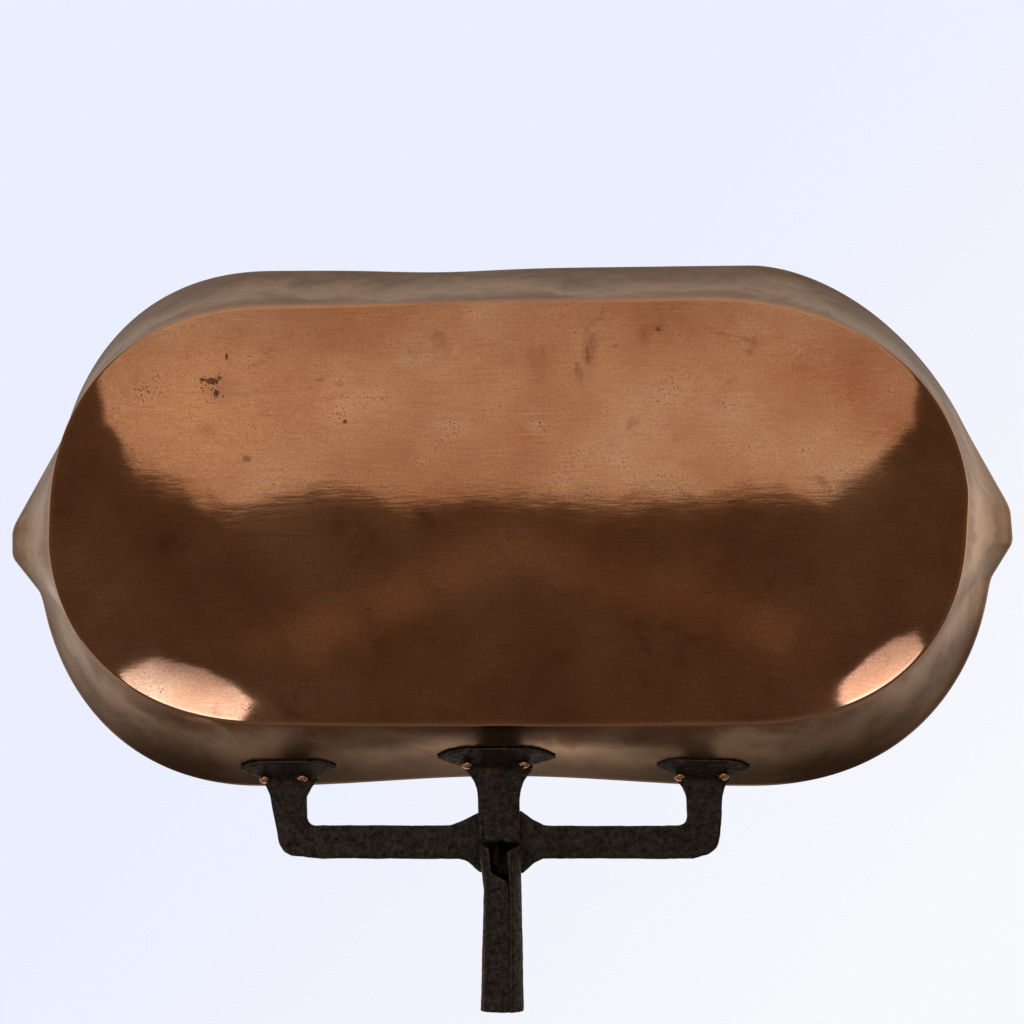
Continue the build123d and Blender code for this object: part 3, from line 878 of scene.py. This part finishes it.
def wipedTin():
    # the inside's hand-wiped tin: grey, soft, with copper showing through where it is worn
    material, tree = newMaterial("hand_wiped_tin_worn")
    coords = addNode(tree, "ShaderNodeTexCoord").outputs["Object"]
    wipe = addNode(tree, "ShaderNodeMapping", {
        "Scale": (perSize(55.556), perSize(14.286), perSize(25)), "Rotation": (0, 0, 0.5)},
        {"Vector": coords})
    swirl = addNode(tree, "ShaderNodeTexNoise", {"Scale": 1.0, "Detail": 6.0, "Roughness": 0.6,
                                                 "Distortion": 1.2}, {"Vector": wipe.outputs[0]})
    tint = addNode(tree, "ShaderNodeValToRGB", {"stops": ((0.3, "#8e8a84"), (0.72, "#c3bfb6"))},
                   {"Fac": swirl.outputs["Fac"]})
    worn = addNode(tree, "ShaderNodeTexNoise", {"Scale": perSize(90.91), "Detail": 8.0, "Roughness": 0.7},
                   {"Vector": coords})
    wornMask = addNode(tree, "ShaderNodeMapRange", {1: 0.57, 2: 0.66, 4: 0.75},
                       {0: worn.outputs["Fac"]})
    mixed = addNode(tree, "ShaderNodeMix", {"data_type": "RGBA", 7: linear("#a66a47")},
                    {0: wornMask.outputs[0], 6: tint.outputs["Color"]})
    rough = addNode(tree, "ShaderNodeMapRange", {1: 0.3, 2: 0.7, 3: 0.26, 4: 0.42},
                    {0: swirl.outputs["Fac"]})
    bump = addNode(tree, "ShaderNodeBump", {"Strength": 0.4, "Distance": 0.12 * mm},
                   {"Height": swirl.outputs["Fac"]})
    shader = addNode(tree, "ShaderNodeBsdfPrincipled", {"Metallic": 1.0},
                     {"Base Color": mixed.outputs[2], "Roughness": rough.outputs[0],
                      "Normal": bump.outputs[0]})
    addNode(tree, "ShaderNodeOutputMaterial", links={"Surface": shader.outputs[0]})
    return material


def forgedIron():
    # wrought iron under old scale and oil: near black, pitted, some rust and a trace of green where it
    # touches the copper;
    # its edges paler, partly rubbed and partly a painted highlight, and painted shade in the socket's bore
    material, tree = newMaterial("forged_iron_blackened")
    coords = addNode(tree, "ShaderNodeTexCoord").outputs["Object"]
    split = addNode(tree, "ShaderNodeSeparateXYZ", links={"Vector": coords})
    scale = addNode(tree, "ShaderNodeTexNoise", {"Scale": perSize(3.2258), "Detail": 8.0,
                                                 "Roughness": 0.80}, {"Vector": coords})
    tint = addNode(tree, "ShaderNodeValToRGB", {"stops": ((0.38, "#15110e"), (0.66, "#5a5145"))},
                   {"Fac": scale.outputs["Fac"]})
    rust = addNode(tree, "ShaderNodeTexNoise", {"Scale": perSize(16.667), "Detail": 8.0,
                                                "Roughness": 0.74}, {"Vector": coords})
    rustMask = addNode(tree, "ShaderNodeMapRange", {1: 0.55, 2: 0.68, 4: 0.8},
                       {0: rust.outputs["Fac"]})
    rusted = addNode(tree, "ShaderNodeMix", {"data_type": "RGBA", 7: linear("#56321c")},
                     {0: rustMask.outputs[0], 6: tint.outputs["Color"]})
    # verdigris and brown grease on the feet
    feetMask = addNode(tree, "ShaderNodeMapRange", {1: -178.0 * mm, 2: -163.0 * mm},
                       {0: split.outputs["Y"]})
    green = addNode(tree, "ShaderNodeTexNoise", {"Scale": perSize(6.6667), "Detail": 6.0,
                                                 "Roughness": 0.7}, {"Vector": coords})
    greenMask = addNode(tree, "ShaderNodeMapRange", {1: 0.56, 2: 0.66, 4: 0.7},
                        {0: green.outputs["Fac"]})
    greenPart = addNode(tree, "ShaderNodeMath", {"operation": "MULTIPLY"},
                        {0: greenMask.outputs[0], 1: feetMask.outputs[0]})
    greened = addNode(tree, "ShaderNodeMix", {"data_type": "RGBA", 7: linear("#6b5a35")},
                      {0: greenPart.outputs[0], 6: rusted.outputs[2]})
    # paler edges, from the mesh's own curvature: partly rubbed wear, partly a painted highlight along them
    curve = addNode(tree, "ShaderNodeNewGeometry").outputs["Pointiness"]
    edge = addNode(tree, "ShaderNodeMapRange", {1: 0.52, 2: 0.57, 4: 0.55}, {0: curve})
    edgesWornAndHighlighted = addNode(tree, "ShaderNodeMix", {"data_type": "RGBA", 7: linear("#8b8172")},
                    {0: edge.outputs[0], 6: greened.outputs[2]})
    # painted shade in the socket's bore: near black in the tube's upper half, past the throat
    fromAxis = addNode(tree, "ShaderNodeMapping", {
        "Location": (-2.8 * mm, 0, -46.2 * mm), "Scale": (1, 0, 1)}, {"Vector": coords})
    radial = addNode(tree, "ShaderNodeVectorMath", {"operation": "LENGTH"}, {0: fromAxis.outputs[0]})
    inBore = addNode(tree, "ShaderNodeMapRange", {1: 12.6 * mm, 2: 11.8 * mm},
                     {0: radial.outputs["Value"]})
    pastThroat = addNode(tree, "ShaderNodeMapRange", {1: -206.6 * mm, 2: -208.5 * mm},
                         {0: split.outputs["Y"]})
    upper = addNode(tree, "ShaderNodeMapRange", {1: 43.5 * mm, 2: 47.0 * mm, 4: 0.92},
                    {0: split.outputs["Z"]})
    boreShadeAlong = addNode(tree, "ShaderNodeMath", {"operation": "MULTIPLY"},
                       {0: inBore.outputs[0], 1: pastThroat.outputs[0]})
    boreShade = addNode(tree, "ShaderNodeMath", {"operation": "MULTIPLY"},
                   {0: boreShadeAlong.outputs[0], 1: upper.outputs[0]}).outputs[0]
    withBoreShade = addNode(tree, "ShaderNodeMix", {"data_type": "RGBA", 7: linear("#0c0705")},
                    {0: boreShade, 6: edgesWornAndHighlighted.outputs[2]})
    rough = addNode(tree, "ShaderNodeMapRange", {1: 0.38, 2: 0.62, 3: 0.62, 4: 0.32},
                    {0: scale.outputs["Fac"]})
    # the painted bore shade is also dull, not shiny and not metallic
    dull = addNode(tree, "ShaderNodeMix", {3: 0.95}, {0: boreShade, 2: rough.outputs[0]})
    shine = addNode(tree, "ShaderNodeMapRange", {1: 0.38, 2: 0.66, 3: 0.20, 4: 0.60},
                    {0: scale.outputs["Fac"]})
    shineLeft = addNode(tree, "ShaderNodeMix", {3: 0.0}, {0: boreShade, 2: shine.outputs[0]})
    metalLeft = addNode(tree, "ShaderNodeMix", {2: 0.35, 3: 0.0}, {0: boreShade})
    fineBump = addNode(tree, "ShaderNodeBump", {"Strength": 0.8, "Distance": 0.3 * mm},
                       {"Height": scale.outputs["Fac"]})
    shader = addNode(tree, "ShaderNodeBsdfPrincipled", links={
        "Base Color": withBoreShade.outputs[2], "Roughness": dull.outputs[0], "Metallic": metalLeft.outputs[0],
        "Specular IOR Level": shineLeft.outputs[0], "Normal": fineBump.outputs[0]})
    addNode(tree, "ShaderNodeOutputMaterial", links={"Surface": shader.outputs[0]})
    return material


def rubbedCopper():
    # rivet copper rubbed bright by hands and cloths: a warm mirror with duller brown spots
    material, tree = newMaterial("rivet_copper_rubbed")
    coords = addNode(tree, "ShaderNodeTexCoord").outputs["Object"]
    spots = addNode(tree, "ShaderNodeTexNoise", {"Scale": perSize(3.8462), "Detail": 3.0},
                    {"Vector": coords})
    tint = addNode(tree, "ShaderNodeValToRGB", {"stops": ((0.26, "#d08e66"), (0.5, "#f4bf9a"))},
                   {"Fac": spots.outputs["Fac"]})
    rough = addNode(tree, "ShaderNodeMapRange", {1: 0.3, 2: 0.7, 3: 0.22, 4: 0.12},
                    {0: spots.outputs["Fac"]})
    shader = addNode(tree, "ShaderNodeBsdfPrincipled", {"Metallic": 1.0},
                     {"Base Color": tint.outputs["Color"], "Roughness": rough.outputs[0]})
    addNode(tree, "ShaderNodeOutputMaterial", links={"Surface": shader.outputs[0]})
    return material


# every piece is shaped, finished and tied to its body
copper, tin = hammeredCopper(), wipedTin()
iron, rivetCopper = forgedIron(), rubbedCopper()

pan = makePan(copper, tin)
settle(pan, ["pan"], copper)
print("pan", len(pan.data.polygons), "faces before its rim bevel")

yoke = makeYoke()
settle(yoke, ["yoke"], iron)
print("yoke", len(yoke.data.polygons), "faces")

strap = makeStrap()
settle(strap, ["socket_strap"], iron)
print("strap", len(strap.data.polygons), "faces")

for rivetName, (x, z) in rivetPlaces.items():
    settle(makeRivet(rivetName, x * mm, z * mm), [rivetName], rivetCopper)
print("rivets", len(rivetPlaces))


# the floor, the room and the camera
stageSpec = {
    "glowHeight": -1.19,
    "floorSize": 6.0, "floorGap": 0.3 * mm, "floor": "#e9ebf2",
    "backdropLeft": "#ebeefe", "backdropRight": "#f8f9fc",
    "roomBelow": (0.110, 0.080, 0.057, 1), "roomAbove": (0.37, 0.325, 0.285, 1),
    "roomBehindHandle": (0.13, 0.105, 0.085, 1),
    "cameraFar": 1.2, "cameraTilt": math.radians(7.7), "lens": 66.97,
    "shift": (0.005859, -0.001367),
}


def makeFloor():
    # seen only from above; light and reflections from below pass through it
    bm = bmesh.new()
    bmesh.ops.create_grid(bm, x_segments=1, y_segments=1, size=stageSpec["floorSize"] / 2)
    mesh = bpy.data.meshes.new("floor")
    bm.to_mesh(mesh)
    bm.free()
    floor = addObject("floor", mesh)
    floor.location.z = cadLow.z - stageSpec["floorGap"]
    floor.visible_glossy = floor.visible_diffuse = floor.visible_shadow = False
    floor.visible_transmission = False
    material, tree = newMaterial("floor_matte_pale")
    side = addNode(tree, "ShaderNodeNewGeometry").outputs["Backfacing"]
    matte = addNode(tree, "ShaderNodeBsdfDiffuse", {"Color": linear(stageSpec["floor"])})
    clear = addNode(tree, "ShaderNodeBsdfTransparent")
    both = addNode(tree, "ShaderNodeMixShader", links={
        0: side, 1: matte.outputs[0], 2: clear.outputs[0]})
    addNode(tree, "ShaderNodeOutputMaterial", links={"Surface": both.outputs[0]})
    floor.data.materials.append(material)


def makeWorld():
    spec = stageSpec
    world = bpy.data.worlds.new("studio")
    bpy.context.scene.world = world
    world.use_nodes = True
    tree = world.node_tree
    tree.nodes.clear()
    direction = addNode(tree, "ShaderNodeTexCoord").outputs["Generated"]
    split = addNode(tree, "ShaderNodeSeparateXYZ", links={"Vector": direction})
    # seen directly: pale lavender at the upper left, nearly white at the lower right
    slant = addNode(tree, "ShaderNodeMath", {"operation": "MULTIPLY_ADD", 1: 0.9},
                    {0: split.outputs["Y"], 2: split.outputs["X"]})
    backdrop = addNode(tree, "ShaderNodeMapRange", {1: 0.16, 2: -0.30}, {0: slant.outputs[0]})
    seen = addNode(tree, "ShaderNodeMix", {
        "data_type": "RGBA", 6: linear(spec["backdropLeft"]), 7: linear(spec["backdropRight"])},
        {0: backdrop.outputs[0]})
    # reflected: a pale room above the pan, a dim warm one below it and behind the handle
    farLift = addNode(tree, "ShaderNodeMath", {"operation": "MULTIPLY_ADD", 1: 0.7},
                      {0: split.outputs["Y"], 2: split.outputs["Z"]})
    height = addNode(tree, "ShaderNodeMapRange", {1: -0.15, 2: 0.25}, {0: farLift.outputs[0]})
    room = addNode(tree, "ShaderNodeMix", {
        "data_type": "RGBA", 6: spec["roomBelow"], 7: spec["roomAbove"]}, {0: height.outputs[0]})
    behind = addNode(tree, "ShaderNodeMapRange", {1: -0.42, 2: -0.80, "interpolation_type": "SMOOTHSTEP"},
                     {0: split.outputs["Y"]})
    shaded = addNode(tree, "ShaderNodeMix", {"data_type": "RGBA", 7: spec["roomBehindHandle"]},
                     {0: behind.outputs[0], 6: room.outputs[2]})
    eye = addNode(tree, "ShaderNodeLightPath").outputs["Is Camera Ray"]
    chosen = addNode(tree, "ShaderNodeMix", {"data_type": "RGBA"},
                     {0: eye, 6: shaded.outputs[2], 7: seen.outputs[2]})
    sky = addNode(tree, "ShaderNodeBackground", links={"Color": chosen.outputs[2]})
    addNode(tree, "ShaderNodeOutputWorld", links={"Surface": sky.outputs[0]})


# glowing sheets for the bottom to mirror: rows of (y, least x, greatest x); (y, strength) at the
# near and the far side; and waves of (x, half width, rise) that lift the near row's edge
glows = {
    # the large window that the far half mirrors: narrow nearby and wider far off
    "window": {
        "colour": (1.0, 0.86, 0.72, 1), "near": (0.3, 0.67), "far": (1.6, 0.41),
        "rows": [(0.172, -0.405, 0.375), (0.25, -0.53, 0.54), (0.36, -0.69, 0.68), (0.80, -0.95, 0.95),
                 (1.5, -1.3, 1.3), (2.6, -1.6, 1.6)],
        "waves": [(0.22, 0.11, 0.020), (0.335, 0.06, -0.012), (0.04, 0.09, 0.008), (-0.13, 0.08, -0.008),
                  (-0.32, 0.08, 0.010)],
    },
    # two bright sheets that catch the bottom's near corners and the rivets
    "corner_left": {
        "colour": (0.84, 0.92, 1.06, 1), "near": (-0.42, 2.6), "far": (-0.14, 0.55), "waves": [],
        "rows": [(-0.60, 0.40, 0.66), (-0.48, 0.365, 0.72), (-0.36, 0.345, 0.71), (-0.28, 0.36, 0.67),
                 (-0.20, 0.38, 0.58), (-0.14, 0.41, 0.50)],
    },
    "corner_right": {
        "colour": (0.86, 0.93, 1.05, 1), "near": (-0.38, 2.9), "far": (-0.12, 0.8), "waves": [],
        "rows": [(-0.50, -0.72, -0.60), (-0.42, -0.78, -0.55), (-0.32, -0.80, -0.535),
                 (-0.24, -0.79, -0.535), (-0.17, -0.76, -0.57), (-0.12, -0.71, -0.63)],
    },
}
# soft boxes; radiance is how bright one looks in a mirror, and turn is in degrees about Z
panels = {
    # dim warm bands in the bottom's dark half
    "warm_left": {"place": (0.13, 0.055, -1.19), "aim": (0.13, 0.055, 0), "size": (0.31, 0.055),
                  "radiance": 0.042, "colour": "#ffc09a", "turn": -23},
    "warm_right": {"place": (-0.19, 0.06, -1.19), "aim": (-0.19, 0.06, 0), "size": (0.36, 0.05),
                   "radiance": 0.045, "colour": "#ffc09a", "turn": 18},
    # a strip that streaks along the near wall
    "strip": {"place": (0.1, -1.78, 1.5), "aim": (0, -0.15, 0.03), "size": (1.7, 0.60),
              "radiance": 0.55, "colour": "#fff1e2", "turn": 0},
    # lower left, for a sheen on the iron
    "sheen": {"place": (1.9, -1.3, -0.7), "aim": (0, -0.2, 0), "size": (0.8, 0.8),
              "radiance": 0.6, "colour": "#ffffff", "turn": 0},
    # one each side, so the spouts are not left in the dark
    "side_left": {"place": (1.6, 0.15, 1.25), "aim": (0.3, 0, 0.05), "size": (1.3, 1.0),
                  "radiance": 0.14, "colour": "#fff2e4", "turn": 0},
    "side_right": {"place": (-1.8, 0.3, 1.05), "aim": (-0.3, 0, 0.05), "size": (1.3, 1.3),
                   "radiance": 0.36, "colour": "#ffeedd", "turn": 0},
    # from above, for the inside
    "overhead": {"place": (0.3, -0.2, 2.6), "aim": (0, 0, 0), "size": (2.0, 2.0),
                 "radiance": 0.45, "colour": "#ffffff", "turn": 0},
}


def addGlow(name, spec):
    rows, near, far = spec["rows"], spec["near"], spec["far"]
    bm = bmesh.new()
    bmesh.ops.create_grid(bm, x_segments=40, y_segments=len(rows) - 1, size=1)
    for v in bm.verts:
        row = round((v.co.y + 1) / 2 * (len(rows) - 1))
        y, low, high = rows[row]
        x = low + (high - low) * (v.co.x + 1) / 2
        if row == 0:
            y += sum(rise * smoothStep(1 - abs(x - place) / half) for place, half, rise in spec["waves"])
        v.co = Vector((x, y, stageSpec["glowHeight"]))
    mesh = bpy.data.meshes.new(name)
    bm.to_mesh(mesh)
    bm.free()
    sheet = addObject(name, mesh)
    sheet.visible_camera = False
    material, tree = newMaterial(name + "_light")
    coords = addNode(tree, "ShaderNodeTexCoord").outputs["Object"]
    split = addNode(tree, "ShaderNodeSeparateXYZ", links={"Vector": coords})
    fade = addNode(tree, "ShaderNodeMapRange", {1: near[0], 2: far[0], 3: near[1], 4: far[1]},
                   {0: split.outputs["Y"]})
    light = addNode(tree, "ShaderNodeEmission", {"Color": spec["colour"]}, {"Strength": fade.outputs[0]})
    addNode(tree, "ShaderNodeOutputMaterial", links={"Surface": light.outputs[0]})
    sheet.data.materials.append(material)


def addPanel(name, spec):
    lamp = bpy.data.lights.new(name, "AREA")
    lamp.shape = "RECTANGLE"
    lamp.size, lamp.size_y = spec["size"]
    lamp.energy = spec["radiance"] * math.pi * spec["size"][0] * spec["size"][1]
    lamp.color = linear(spec["colour"])[:3]
    panel = addObject(name, lamp)
    panel.location = spec["place"]
    away = (Vector(spec["place"]) - Vector(spec["aim"])).normalized()
    turned = Quaternion((0, 0, 1), math.radians(spec["turn"])) @ away.to_track_quat("Z", "Y")
    panel.rotation_euler = turned.to_euler()
    panel.visible_camera = False


def makeCamera():
    camera = addObject("camera", bpy.data.cameras.new("camera"))
    tilt = stageSpec["cameraTilt"]
    back = Vector((0, -math.sin(tilt), -math.cos(tilt)))
    right = Vector((-1, 0, 0))
    up = back.cross(right)
    camera.matrix_world = Matrix.Translation(back * stageSpec["cameraFar"]) @ Matrix(
        (right, up, back)).transposed().to_4x4()
    camera.data.lens = stageSpec["lens"]
    camera.data.shift_x, camera.data.shift_y = stageSpec["shift"]
    camera.data.clip_start = 0.05
    bpy.context.scene.camera = camera


makeFloor()
makeWorld()
for name, spec in glows.items():
    addGlow(name, spec)
for name, spec in panels.items():
    addPanel(name, spec)
makeCamera()
bpy.context.scene.view_settings.view_transform = "Standard"
print("stage set")

bpy.context.view_layer.update()
